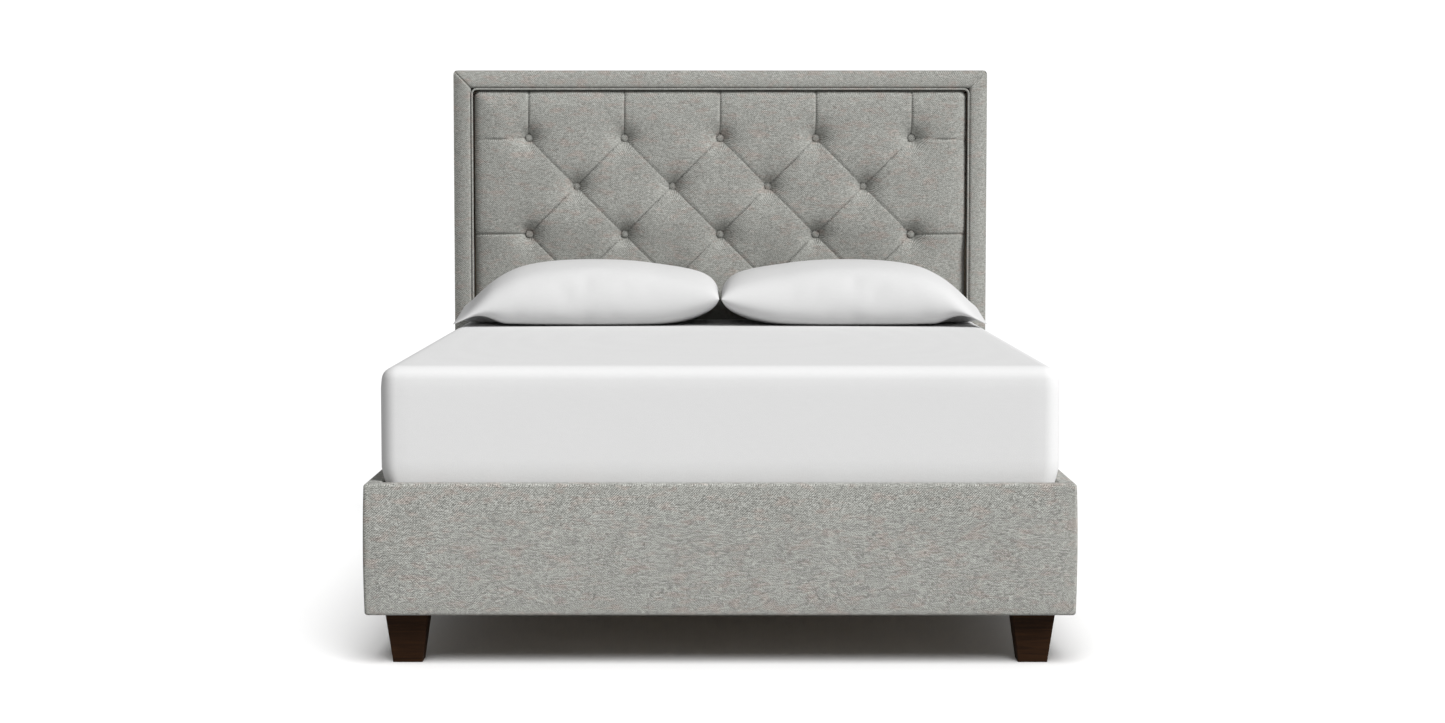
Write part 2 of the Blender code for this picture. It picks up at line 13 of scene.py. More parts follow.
import bmesh
import bpy
import numpy as np
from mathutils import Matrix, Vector


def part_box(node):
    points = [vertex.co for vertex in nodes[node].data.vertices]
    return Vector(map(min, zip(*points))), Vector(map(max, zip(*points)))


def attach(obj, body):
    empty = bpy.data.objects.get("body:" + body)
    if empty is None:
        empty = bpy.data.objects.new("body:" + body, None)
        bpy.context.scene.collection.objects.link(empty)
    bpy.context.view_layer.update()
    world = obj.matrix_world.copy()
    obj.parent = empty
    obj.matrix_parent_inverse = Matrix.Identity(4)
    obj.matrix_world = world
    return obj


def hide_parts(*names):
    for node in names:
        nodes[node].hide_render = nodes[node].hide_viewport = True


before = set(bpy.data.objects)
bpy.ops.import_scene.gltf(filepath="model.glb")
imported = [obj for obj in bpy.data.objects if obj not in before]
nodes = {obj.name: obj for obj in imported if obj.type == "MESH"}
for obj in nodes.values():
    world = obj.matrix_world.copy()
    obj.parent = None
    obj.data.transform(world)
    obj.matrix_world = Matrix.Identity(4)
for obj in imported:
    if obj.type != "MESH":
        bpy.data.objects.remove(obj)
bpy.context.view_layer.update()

# %% [markdown]
# ## The camera and the studio
#
# A bed is usually shown straight from its foot, from a standing height and from some distance, so
# that its sides nearly line up. A long lens a little above the mattress does that.
#
# The studio is a white sweep, whose floor melts into the air behind it. Two tricks make that work.
# The first is light linking: a key lamp to the right lights the bed but leaves out the floor, and
# a second lamp lights only the floor, so that the floor can be white and still hold a soft shadow.
# The second is a Light Path node. The camera sees a white floor and white air, while the light
# that bounces on to the bed comes from a greyer floor and dimmer air, so the bed keeps its shade.

# %% The camera
LENS, SENSOR_WIDTH = 65.91, 36
CAMERA_PLACE = (0, -7.019, 1.108)
CAMERA_DROP_DEGREES = 3.9725

camera_data = bpy.data.cameras.new("camera")
camera_data.lens = LENS
camera_data.sensor_width = SENSOR_WIDTH
camera_data.shift_x = 0.0016
camera_data.clip_end = 200
camera = bpy.data.objects.new("camera", camera_data)
camera.location = CAMERA_PLACE
camera.rotation_euler = (math.radians(90 - CAMERA_DROP_DEGREES), 0, 0)
bpy.context.scene.collection.objects.link(camera)
bpy.context.scene.camera = camera

# %% The floor
FLOOR_WIDTH = 120
SEEN_FLOOR, BOUNCING_FLOOR = 0.93, 0.42

bpy.ops.object.select_all(action="DESELECT")
bpy.ops.mesh.primitive_plane_add(size=FLOOR_WIDTH, location=(0, 0, 0))
floor = bpy.context.object
floor.name = "studio_floor"
floor_finish = bpy.data.materials.new("studio_white")
floor_finish.use_nodes = True
floor_shader = floor_finish.node_tree.nodes["Principled BSDF"]
floor_shader.inputs["Base Color"].default_value = (*(SEEN_FLOOR,) * 3, 1)
floor_shader.inputs["Roughness"].default_value = 0.9
floor_shader.inputs["Specular IOR Level"].default_value = 0.1
floor_tree = floor_finish.node_tree
shaded_floor = floor_tree.nodes.new("ShaderNodeBsdfDiffuse")
shaded_floor.inputs["Color"].default_value = (*(BOUNCING_FLOOR,) * 3, 1)
floor_ray = floor_tree.nodes.new("ShaderNodeLightPath")
floor_mix = floor_tree.nodes.new("ShaderNodeMixShader")
floor_tree.links.new(floor_ray.outputs["Is Camera Ray"], floor_mix.inputs[0])
floor_tree.links.new(shaded_floor.outputs[0], floor_mix.inputs[1])
floor_tree.links.new(floor_shader.outputs[0], floor_mix.inputs[2])
floor_tree.links.new(floor_mix.outputs[0], floor_tree.nodes["Material Output"].inputs["Surface"])
floor.data.materials.append(floor_finish)
print("the floor is", floor.dimensions.x, "m across")

# %% The white surroundings
FILL_STRENGTH, SEEN_STRENGTH = 0.33, 1.05

surroundings = bpy.data.worlds.new("white_studio")
surroundings.use_nodes = True
air = surroundings.node_tree
fill_air = air.nodes["Background"]
fill_air.inputs["Color"].default_value = (1, 1, 1, 1)
fill_air.inputs["Strength"].default_value = FILL_STRENGTH
seen_air = air.nodes.new("ShaderNodeBackground")
seen_air.inputs["Color"].default_value = (1, 1, 1, 1)
seen_air.inputs["Strength"].default_value = SEEN_STRENGTH
ray_kind = air.nodes.new("ShaderNodeLightPath")
seen_or_fill = air.nodes.new("ShaderNodeMixShader")
air.links.new(ray_kind.outputs["Is Camera Ray"], seen_or_fill.inputs[0])
air.links.new(fill_air.outputs[0], seen_or_fill.inputs[1])
air.links.new(seen_air.outputs[0], seen_or_fill.inputs[2])
air.links.new(seen_or_fill.outputs[0], air.nodes["World Output"].inputs["Surface"])
bpy.context.scene.world = surroundings
bpy.context.scene.view_settings.view_transform = "Standard"
print("the air is seen at", SEEN_STRENGTH, "and lights at", FILL_STRENGTH)

# %% The two lamps, and what each one lights
def broad_lamp(name, strength, spread_degrees, towards):
    """A distant soft lamp, whose light travels along the direction given."""
    data = bpy.data.lights.new(name, "SUN")
    data.energy = strength
    data.angle = math.radians(spread_degrees)
    lamp = bpy.data.objects.new(name, data)
    lamp.rotation_euler = Vector(towards).to_track_quat("-Z", "Y").to_euler()
    bpy.context.scene.collection.objects.link(lamp)
    return lamp


key_lamp = broad_lamp("key_lamp", 3.9, 30, (-0.60, 0.50, -0.60))
floor_lamp = broad_lamp("floor_lamp", 3.5, 40, (-0.10, 0.80, -1))
for lamp, state in ((key_lamp, "EXCLUDE"), (floor_lamp, "INCLUDE")):
    group = bpy.data.collections.new("floor_for_" + lamp.name)
    group.objects.link(floor)
    group.collection_objects[0].light_linking.link_state = state
    lamp.light_linking.receiver_collection = group
print("lamps:", key_lamp.name, floor_lamp.name)

# %% [markdown]
# ## The finishes
#
# Each finish is a small network of nodes that reads Object coordinates, so one metre in a node is
# one metre on the bed and the threads keep their size on every piece. The tweed is the finish that
# shows most. On the real bed it is a twill of grey yarns, some lighter and some darker, with a
# few pinkish ones: from near it shows slanting ribs, from far a soft, uneven grey. The headboard has
# the same cloth. Its second material is a copy darkened with painted shade, with calmer flecks.

# %% A helper for patterns
class Pattern:
    """A material with one Principled shader, and short ways to add patterns of numbers to it."""

    def __init__(self, name, roughness, specular=0.3, metallic=0.0):
        self.material = bpy.data.materials.new(name)
        self.material.use_nodes = True
        self.tree = self.material.node_tree
        self.shader = self.tree.nodes["Principled BSDF"]
        self.shader.inputs["Roughness"].default_value = roughness
        self.shader.inputs["Specular IOR Level"].default_value = specular
        self.shader.inputs["Metallic"].default_value = metallic
        self.place = self.tree.nodes.new("ShaderNodeTexCoord").outputs["Object"]

    def join(self, source, socket):
        self.tree.links.new(source, socket)

    def scaled_place(self, scale):
        """The place on the piece, stretched along each axis."""
        mapping = self.tree.nodes.new("ShaderNodeMapping")
        mapping.inputs["Scale"].default_value = scale
        self.join(self.place, mapping.inputs["Vector"])
        return mapping.outputs["Vector"]

    def noise(self, size, detail=2.0, roughness=0.5, stretch=(1, 1, 1), warp=0.0):
        """Soft random patches, about one size across, between 0 and 1."""
        node = self.tree.nodes.new("ShaderNodeTexNoise")
        self.join(self.scaled_place(stretch), node.inputs["Vector"])
        node.inputs["Scale"].default_value = 1 / size
        node.inputs["Detail"].default_value = detail
        node.inputs["Roughness"].default_value = roughness
        node.inputs["Distortion"].default_value = warp
        return node.outputs[0]

    def ribs(self, across, warp=0.0, warp_size=0.01):
        """Parallel ribs. across says how many ribs there are to a metre along each axis."""
        place = self.scaled_place(across)
        apart = self.tree.nodes.new("ShaderNodeVectorMath")
        apart.operation = "DOT_PRODUCT"
        apart.inputs[1].default_value = (2 * math.pi,) * 3
        self.join(place, apart.inputs[0])
        phase = apart.outputs["Value"]
        if warp:
            phase = self.blend("ADD", phase, self.blend("MULTIPLY", self.noise(warp_size, 1.0), warp))
        wave = self.tree.nodes.new("ShaderNodeMath")
        wave.operation = "SINE"
        self.join(phase, wave.inputs[0])
        return wave.outputs[0]

    def blend(self, operation, first, second, third=None):
        """One step of arithmetic between sockets or numbers."""
        node = self.tree.nodes.new("ShaderNodeMath")
        node.operation = operation
        for socket, value in zip(node.inputs, (first, second, third)):
            if value is None:
                continue
            if isinstance(value, (int, float)):
                socket.default_value = value
            else:
                self.join(value, socket)
        return node.outputs[0]

    def span(self, value, low, high, new_low=0.0, new_high=1.0):
        """Stretches a value from one span to another, and holds it at the ends."""
        node = self.tree.nodes.new("ShaderNodeMapRange")
        self.join(value, node.inputs["Value"])
        for socket, number in zip(list(node.inputs)[1:5], (low, high, new_low, new_high)):
            socket.default_value = number
        return node.outputs[0]


print("a pattern reads", Pattern("trial", 0.5).place.name, "coordinates")
bpy.data.materials.remove(bpy.data.materials["trial"])

# %% A helper for finishes
class Finish(Pattern):
    """A pattern's colours and relief, joined to the shader."""

    def colours(self, value, *stops):
        """A ramp of colours, each stop a position from 0 to 1 and a colour."""
        node = self.tree.nodes.new("ShaderNodeValToRGB")
        ramp = node.color_ramp
        while len(ramp.elements) < len(stops):
            ramp.elements.new(0.5)
        for element, (position, colour) in zip(ramp.elements, stops):
            element.position = position
            element.color = (*colour, 1)
        self.join(value, node.inputs[0])
        return node.outputs["Color"]

    def tint(self, kind, share, first, second):
        """Mixes two colours; either may be a plain colour."""
        node = self.tree.nodes.new("ShaderNodeMix")
        node.data_type = "RGBA"
        node.blend_type = kind
        for name, value in (("Factor_Float", share), ("A_Color", first), ("B_Color", second)):
            socket = next(s for s in node.inputs if s.identifier == name)
            if isinstance(value, tuple):
                socket.default_value = (*value, 1)
            elif isinstance(value, (int, float)):
                socket.default_value = value
            else:
                self.join(value, socket)
        return next(s for s in node.outputs if s.identifier == "Result_Color")

    def colour(self, source):
        self.join(source, self.shader.inputs["Base Color"])

    def bump(self, height, depth, strength=1.0):
        """Small relief, depth metres deep where height goes from 0 to 1."""
        node = self.tree.nodes.new("ShaderNodeBump")
        node.inputs["Strength"].default_value = strength
        node.inputs["Distance"].default_value = depth
        self.join(height, node.inputs["Height"])
        self.join(node.outputs[0], self.shader.inputs["Normal"])


print("a finish adds", [name for name in vars(Finish) if not name.startswith("_")])

# %% The grey tweed
RIB_PITCH = 0.0056
YARN = 0.0019
TWEED_SHADES = (0.115, 0.115, 0.108), (0.330, 0.332, 0.306), (0.620, 0.625, 0.590)
PINK_CAST = (1.04, 0.93, 0.91)


def woven_tweed(name, depth, contrast):
    """Twill ribs, yarns, flecks and pinkish patches. depth darkens it as painted shade; contrast is its
    fleck.
    """
    cloth = Finish(name, roughness=0.92, specular=0.18)
    rib = 1 / RIB_PITCH
    rising = cloth.ribs((rib, rib, -rib), warp=1.6, warp_size=0.012)
    falling = cloth.ribs((rib, rib, rib), warp=1.6, warp_size=0.014)
    patch = cloth.span(cloth.noise(0.016, 2.0), 0.42, 0.58)
    twill = cloth.blend("ADD",
                        cloth.blend("MULTIPLY", rising, cloth.span(patch, 0, 1, 0.30, 1.0)),
                        cloth.blend("MULTIPLY", falling, cloth.span(patch, 0, 1, 0.42, 0.05)))
    warp_yarn = cloth.ribs((1 / YARN, 1 / YARN, 0))
    weft_yarn = cloth.ribs((0, 0, 1 / YARN))
    yarns = cloth.blend("MULTIPLY", warp_yarn, weft_yarn)
    fleck = cloth.noise(0.0027, 1.0, 0.5)
    streak = cloth.noise(0.0025, 1.0, 0.5, stretch=(0.25, 0.25, 1))
    slub = cloth.noise(0.0030, 1.0, 0.5, stretch=(1, 1, 0.3))
    cloud = cloth.noise(0.07, 2.0, 0.5)

    tone = cloth.blend("MULTIPLY_ADD", twill, 0.27, 0.5)
    tone = cloth.blend("MULTIPLY_ADD", yarns, 0.05, tone)
    speckles = (fleck, 0.30 * contrast), (streak, 0.24 * contrast), (slub, 0.08), (cloud, 0.03)
    for speckle, share in speckles:
        tone = cloth.blend("ADD", tone, cloth.span(speckle, 0.25, 0.75, -share, share))
    # a depth below 1 darkens every shade: painted shade, used for the headboard's copy of the cloth
    shades = [tuple(depth * part for part in shade) for shade in TWEED_SHADES]
    grey = cloth.colours(tone, (0.0, shades[0]), (0.5, shades[1]), (1.0, shades[2]))
    pink_share = cloth.span(cloth.noise(0.022, 3.0, 0.65, stretch=(0.4, 0.4, 1)), 0.52, 0.64, 0.0, 0.85)
    cloth.colour(cloth.tint("MULTIPLY", pink_share, grey, PINK_CAST))
    cloth.shader.inputs["Sheen Weight"].default_value = 0.12
    cloth.shader.inputs["Sheen Roughness"].default_value = 0.6
    height = cloth.blend("ADD", cloth.span(tone, 0.2, 0.8), cloth.blend("MULTIPLY", yarns, 0.25))
    cloth.bump(height, 0.0006, 0.7)
    return cloth.material


tweed = woven_tweed("grey_tweed", 1.0, 1.0)
# the headboard's copy is the same cloth darkened with painted shade, and with calmer flecks
HEADBOARD_PAINTED_SHADE, HEADBOARD_CONTRAST = 0.88, 0.75
shaded_headboard_tweed = woven_tweed("grey_tweed_with_painted_shade", HEADBOARD_PAINTED_SHADE, HEADBOARD_CONTRAST)
print("the tweed has", len(tweed.node_tree.nodes), "nodes")

# %% The white linen of the sheet and the pillow cases
LINEN_THREAD = 0.0011
LINEN_SPREAD = 0.04


def bleached_linen(name, whiteness):
    """A fine plain weave that is almost even; whiteness is its middle tone."""
    cloth = Finish(name, roughness=0.88, specular=0.15)
    weave = cloth.blend("MULTIPLY", cloth.ribs((1 / LINEN_THREAD, 1 / LINEN_THREAD, 0)),
                        cloth.ribs((0, 0, 1 / LINEN_THREAD)))
    slub = cloth.noise(0.004, 2.0, 0.6, stretch=(0.2, 0.2, 1))
    cloud = cloth.noise(0.12, 2.0, 0.5)
    tone = cloth.blend("ADD", cloth.span(slub, 0.3, 0.7, 0.44, 0.56),
                       cloth.span(cloud, 0.3, 0.7, -0.04, 0.04))
    cloth.colour(cloth.colours(tone, (0.0, (whiteness - LINEN_SPREAD,) * 3),
                               (1.0, (whiteness + LINEN_SPREAD,) * 3)))
    cloth.shader.inputs["Sheen Weight"].default_value = 0.08
    cloth.bump(cloth.span(weave, -1, 1), 0.0002, 0.4)
    return cloth.material


linen = bleached_linen("white_linen", 0.70)
# the pillow cases are the same white linen as the sheet, made darker here as painted shade
case_linen_with_painted_shade = bleached_linen("white_linen_with_painted_shade", 0.60)
print("the linen has", len(linen.node_tree.nodes), "nodes")

# %% The dark cloth on the back
def dust_cloth(name):
    """The thin dark felt that closes the headboard's back."""
    cloth = Finish(name, roughness=0.95, specular=0.1)
    fibres = cloth.noise(0.0015, 3.0, 0.7)
    dimples = cloth.blend("MULTIPLY", cloth.ribs((500, 500, 0)), cloth.ribs((0, 0, 500)))
    tone = cloth.blend("ADD", cloth.span(fibres, 0.3, 0.7, 0.3, 0.7),
                       cloth.blend("MULTIPLY", dimples, 0.2))
    cloth.colour(cloth.colours(tone, (0.0, (0.010, 0.010, 0.011)), (1.0, (0.040, 0.040, 0.043))))
    cloth.bump(tone, 0.0003, 0.6)
    return cloth.material


black_cloth = dust_cloth("black_dust_cloth")
print("the dust cloth has", len(black_cloth.node_tree.nodes), "nodes")

# %% The two woods
def sawn_wood(name, along, pale, dark, ring, roughness, specular=0.3, grain_depth=0.0003):
    """Wood whose grain runs along one axis: rings and fibres are drawn out along it."""
    wood = Finish(name, roughness=roughness, specular=specular)
    stretch = [1.0, 1.0, 1.0]
    stretch[along] = 0.06
    rings = wood.noise(ring, 3.0, 0.55, stretch=stretch, warp=1.2)
    fibres = wood.noise(0.0016, 3.0, 0.7, stretch=[s if s == 1 else 0.03 for s in stretch])
    tone = wood.blend("ADD", wood.span(rings, 0.3, 0.7, 0.15, 0.75),
                      wood.span(fibres, 0.3, 0.7, -0.12, 0.12))
    wood.colour(wood.colours(tone, (0.0, dark), (1.0, pale)))
    wood.bump(tone, grain_depth, 0.5)
    return wood.material


PINE_PALE, PINE_DARK = (0.63, 0.54, 0.41), (0.43, 0.34, 0.24)
pine = {axis: sawn_wood("pine_along_" + name, axis, PINE_PALE, PINE_DARK, 0.014, 0.62)
        for axis, name in enumerate("xyz")}
ESPRESSO_PALE, ESPRESSO_DARK = (0.044, 0.018, 0.0058), (0.013, 0.005, 0.0018)
espresso = sawn_wood("espresso_stained_wood", 0, ESPRESSO_PALE, ESPRESSO_DARK, 0.009, 0.6, 0.12)
print("woods:", [m.name for m in pine.values()], espresso.name)

# %% The zinc plating and the black plastic
def zinc_plating(name):
    """Bright plating with a faint spangle and fine scratches."""
    steel = Finish(name, roughness=0.36, specular=0.5, metallic=1.0)
    spangle = steel.noise(0.006, 2.0, 0.6)
    scratch = steel.noise(0.0012, 2.0, 0.6, stretch=(0.1, 1, 1))
    steel.colour(steel.colours(spangle, (0.3, (0.46, 0.47, 0.48)), (0.7, (0.62, 0.63, 0.64))))
    steel.join(steel.span(scratch, 0.3, 0.7, 0.30, 0.45), steel.shader.inputs["Roughness"])
    steel.bump(scratch, 0.00005, 0.4)
    return steel.material


def moulded_plastic(name):
    """Almost black plastic with a fine grain."""
    plastic = Finish(name, roughness=0.5, specular=0.4)
    grain = plastic.noise(0.0008, 2.0, 0.6)
    plastic.colour(plastic.colours(grain, (0.0, (0.012, 0.012, 0.012)), (1.0, (0.028, 0.028, 0.029))))
    plastic.bump(grain, 0.0001, 0.4)
    return plastic.material


zinc = zinc_plating("zinc_plated_steel")
black_plastic = moulded_plastic("black_moulded_plastic")
print("fittings:", zinc.name, black_plastic.name)

# %% [markdown]
# ## Padded blocks
#
# Most of the bed's soft parts begin as blocks: foam and wadding cut square, with cloth pulled over
# them. Pulled cloth rounds every edge and leaves the faces slightly crowned. So each piece starts
# as a cube primitive at its real size. It is sliced where it has to bend, with the slices close
# together at the edges. Where a board runs through it, a Boolean cuts the board's space out, and
# then its points are rolled over to a radius.

# %% Picking one piece, and adding a block
def pick_only(piece):
    """Selects one piece and nothing else, and makes it the active one."""
    bpy.ops.object.select_all(action="DESELECT")
    piece.select_set(True)
    bpy.context.view_layer.objects.active = piece


def settle(piece):
    """Puts a piece's place, turn and size into its mesh, so that the object sits at the origin."""
    pick_only(piece)
    bpy.ops.object.transform_apply(location=True, rotation=True, scale=True)


def block(name, low, high):
    """A cube primitive between two corners."""
    bpy.ops.object.select_all(action="DESELECT")
    middle = (Vector(low) + Vector(high)) / 2
    bpy.ops.mesh.primitive_cube_add(size=1, location=middle)
    piece = bpy.context.object
    piece.name = name
    piece.scale = Vector(high) - Vector(low)
    settle(piece)
    return piece


def points_of(piece):
    """The piece's points as an array, a row for each."""
    points = np.empty(len(piece.data.vertices) * 3)
    piece.data.vertices.foreach_get("co", points)
    return points.reshape(-1, 3)


def put_points(piece, points):
    """Moves the piece's points to the rows of an array."""
    piece.data.vertices.foreach_set("co", np.ascontiguousarray(points).ravel())
    piece.data.update()


print("a block has", len(block("trial", (0, 0, 0), (1, 1, 1)).data.polygons), "faces")
bpy.data.objects.remove(bpy.data.objects["trial"])

# %% Slicing a block
AXES = (Vector((1, 0, 0)), Vector((0, 1, 0)), Vector((0, 0, 1)))
ROLL_STEPS = 4


def slice_piece(piece, axis, places):
    """Bisects the whole piece across one axis at each place."""
    pick_only(piece)
    bpy.ops.object.mode_set(mode="EDIT")
    for place in places:
        bpy.ops.mesh.select_all(action="SELECT")
        bpy.ops.mesh.bisect(plane_co=AXES[axis] * float(place), plane_no=AXES[axis])
    bpy.ops.object.mode_set(mode="OBJECT")


def slices_between(low, high, radius, spacing, steps=ROLL_STEPS):
    """Places to slice: close together where an edge rolls, then evenly between."""
    turn = [radius * (1 - math.tan(math.pi / 4 * step / steps)) for step in range(steps)]
    count = max(1, round((high - low - 2 * radius) / spacing))
    even = np.linspace(low + radius, high - radius, count + 1)[1:-1]
    return sorted({*(low + t for t in turn), *(high - t for t in turn), *even})


print("slices across a 38 mm rail:", [round(p, 4) for p in slices_between(0, 0.038, 0.008, 0.02)])

# %% Rolling its edges
def roll_edges(points, low, high, radius, square_axes=()):
    """Rolls a block's edges over to a radius. Its ends across a square axis stay sharp."""
    core = np.clip(points, np.array(low) + radius, np.array(high) - radius)
    for axis in square_axes:
        core[:, axis] = points[:, axis]
    out = points - core
    length = np.linalg.norm(out, axis=1, keepdims=True)
    return np.where(length > radius, core + out * radius / np.maximum(length, radius), points)


print("a corner rolled 8 mm:", roll_edges(np.zeros((1, 3)), (0,) * 3, (1,) * 3, 0.008).round(4)[0])

# %% Hollowing it
def hollow(piece, low, high):
    """Cuts a box-shaped space out of a piece, as it is open round its board."""
    cutter = block("space", low, high)
    pick_only(piece)
    cut = piece.modifiers.new("space", "BOOLEAN")
    cut.operation = "DIFFERENCE"
    cut.solver = "EXACT"
    cut.object = cutter
    bpy.ops.object.modifier_apply(modifier=cut.name)
    bpy.data.objects.remove(cutter)


def padded_block(name, low, high, radius, spacing, square_axes=(), spaces=()):
    """A hollowed block with rolled edges, sliced finely enough to be crowned afterwards."""
    piece = block(name, low, high)
    for axis in range(3):
        if axis in square_axes:
            count = max(1, round((high[axis] - low[axis]) / spacing[axis]))
            places = np.linspace(low[axis], high[axis], count + 1)[1:-1]
        else:
            places = slices_between(low[axis], high[axis], radius, spacing[axis])
        slice_piece(piece, axis, places)
    for space in spaces:
        hollow(piece, *space)
    put_points(piece, roll_edges(points_of(piece), low, high, radius, square_axes))
    return piece


def arch(value, low, high, power=2.0):
    """1 midway between low and high, falling to 0 at both."""
    middle, half = (low + high) / 2, (high - low) / 2
    return np.clip(1 - np.abs((value - middle) / half) ** power, 0, 1)


print("an arch's height along its span:", arch(np.linspace(0, 1, 5), 0, 1))

# %% Finishing a piece
def finish_piece(piece, finish, body, smooth_degrees=40, stands_for=()):
    """Smooths a piece, gives it its finish, and ties it to the frame."""
    pick_only(piece)
    bpy.ops.object.shade_smooth_by_angle(angle=math.radians(smooth_degrees))
    piece.data.materials.clear()
    piece.data.materials.append(finish)
    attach(piece, body)
    if stands_for:
        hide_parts(*stands_for)
    edges = bmesh.new()
    edges.from_mesh(piece.data)
    open_edges = sum(not edge.is_manifold for edge in edges.edges)
    edges.free()
    print(piece.name, "has", len(piece.data.polygons), "faces and", open_edges, "open edges")
    return piece


# %% [markdown]
# ## The rails
#
# Each rail is a pine board wrapped in thin wadding and tweed. The foot rail covers the ends of the
# side rails, so it alone shows from the foot. The cloth is pulled tight, so the edges are round
# and the face swells a few millimetres between its top and its bottom. The inner side of a cover
# ends a little above the slats, and below that the board shows.

# %% The rail covers
FACE_SWELL, SIDE_FACE_SWELL = 0.004, 0.0028
END_SWELL = 0.003
SWELL_POWER, LONG_POWER = 2.4, 30
RAIL_ROLL = 0.007
WOOD_GAP = 0.0006
OPENING_REACH = 0.05

rail_low, rail_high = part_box("foot_rail_cover")
slat_top = max(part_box(name)[1].z for name in nodes if name.startswith("slat_"))
lining_bottom = min(v.co.z for v in nodes["foot_rail_cover"].data.vertices if v.co.z > slat_top)
print("the lining ends", round(lining_bottom - slat_top, 4), "m above the slats")


def board_spaces(board, inner_side):
    """The spaces in a cover: its board's, and the opening behind the board, below the lining."""
    board_low, board_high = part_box(board)
    axis = 0 if inner_side.x else 1
    ends = Vector((WOOD_GAP,) * 3)
    low, high = board_low - ends, board_high + ends
    opening_low, opening_high = low.copy(), high.copy()
    opening_low.z, opening_high.z = board_low.z - OPENING_REACH, lining_bottom
    if inner_side[axis] > 0:
        opening_high[axis] += OPENING_REACH
    else:
        opening_low[axis] -= OPENING_REACH
    return (low, high), (opening_low, opening_high)


# %% The foot rail's cover
foot_cover = padded_block("foot_rail_upholstery", rail_low, rail_high, RAIL_ROLL, (0.04, 0.02, 0.02),
                          spaces=board_spaces("foot_rail_board", Vector((0, 1, 0))))
shaped = points_of(foot_cover)
front_share = np.clip((rail_high.y - shaped[:, 1]) / (rail_high.y - rail_low.y), 0, 1)
swell = (arch(shaped[:, 2], rail_low.z, rail_high.z, SWELL_POWER)
         * arch(shaped[:, 0], rail_low.x, rail_high.x, LONG_POWER))
shaped[:, 1] -= FACE_SWELL * swell * front_share
end_share = np.clip((np.abs(shaped[:, 0]) - rail_high.x + RAIL_ROLL) / RAIL_ROLL, 0, 1)
end_swell = END_SWELL * end_share * arch(shaped[:, 2], rail_low.z, rail_high.z)
shaped[:, 0] += np.sign(shaped[:, 0]) * end_swell
put_points(foot_cover, shaped)
finish_piece(foot_cover, tweed, "bed_frame", stands_for=["foot_rail_cover"])

# %% The side rails' covers
for side_name, side in (("left", -1), ("right", 1)):
    low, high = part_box(side_name + "_rail_cover")
    cover = padded_block(side_name + "_rail_upholstery", low, high, RAIL_ROLL, (0.02, 0.05, 0.02),
                         square_axes=(1,),
                         spaces=board_spaces(side_name + "_rail_board", Vector((-side, 0, 0))))
    shaped = points_of(cover)
    outer = np.clip((shaped[:, 0] * side - min(abs(low.x), abs(high.x))) / (high.x - low.x), 0, 1)
    swell = (arch(shaped[:, 1], low.y, high.y, LONG_POWER)
             * arch(shaped[:, 2], low.z, high.z, SWELL_POWER))
    shaped[:, 0] += side * SIDE_FACE_SWELL * outer * swell
    put_points(cover, shaped)
    finish_piece(cover, tweed, "bed_frame", stands_for=[side_name + "_rail_cover"])

# %% [markdown]
# ## The headboard's border
#
# Three lengths of wadding frame the tufted panel. The cloth over them is sewn at 45 degrees in the
# two top corners, like a picture frame, and pulled round to the back. Each length is made as a
# sliced block. Its ends are cut along the seam by a slanting bisect. Its padding is thickest near
# the tufted panel and falls back towards the outer edge, and it is drawn in a little at the seam.

# %% The border's sizes
left_low, left_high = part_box("border_left")
top_low, top_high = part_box("border_top")
border_width = left_high.x - left_low.x
outer_x = -left_low.x
border_front = top_low.y
border_top_z = top_high.z
timber_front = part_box("headboard_left_post")[0].y - WOOD_GAP
BORDER_CROWN = 0.013
BORDER_PEAK = 0.80
BORDER_ROLL = 0.008
SEAM_DRAW = 0.0040
SEAM_REACH = 0.0022
SEAM_STEPS = (0.0025, 0.0060)
CORNER_ROLL = 0.012
BORDER_SLICES = (0.007, 0.03, 0.007)
PAST = 0.1
TINY = 1e-9
print("the border is", round(border_width, 4), "m wide")


# %% Shaping a length of border
def round_top_corners(points, side_x, top_z, radius):
    """Draws in the points near the two top corners, so that the corners are round."""
    aside = np.abs(points[:, 0]) - (side_x - radius)
    ahead = points[:, 2] - (top_z - radius)
    in_corner = (aside > 0) & (ahead > 0)
    reach = np.maximum(np.hypot(aside, ahead), TINY)
    pull = np.where(in_corner, np.maximum(aside, ahead) / reach, 1)
    points[:, 0] -= np.sign(points[:, 0]) * np.where(in_corner, aside * (1 - pull), 0)
    points[:, 2] -= np.where(in_corner, ahead * (1 - pull), 0)


def mitre_distance(points):
    """How far a point of the border is from the seam in its top corner, in the face's plane."""
    across = outer_x - np.abs(points[:, 0])
    down = border_top_z - points[:, 2]
    return np.abs(across - down) / math.sqrt(2)


def shape_border(piece):
    """Pads a length across its width, draws it in at the seam and rounds the corner."""
    points = points_of(piece)
    across = np.minimum(outer_x - np.abs(points[:, 0]), border_top_z - points[:, 2])
    share = np.clip(across / border_width, 0, 1)
    padding_share = np.clip((timber_front - points[:, 1]) / (timber_front - border_front), 0, 1)
    fall = BORDER_CROWN * (share / BORDER_PEAK - 1) ** 2
    seam = SEAM_DRAW * np.exp(-mitre_distance(points) / SEAM_REACH)
    points[:, 1] += (fall + seam) * padding_share
    round_top_corners(points, outer_x, border_top_z, CORNER_ROLL)
    put_points(piece, points)


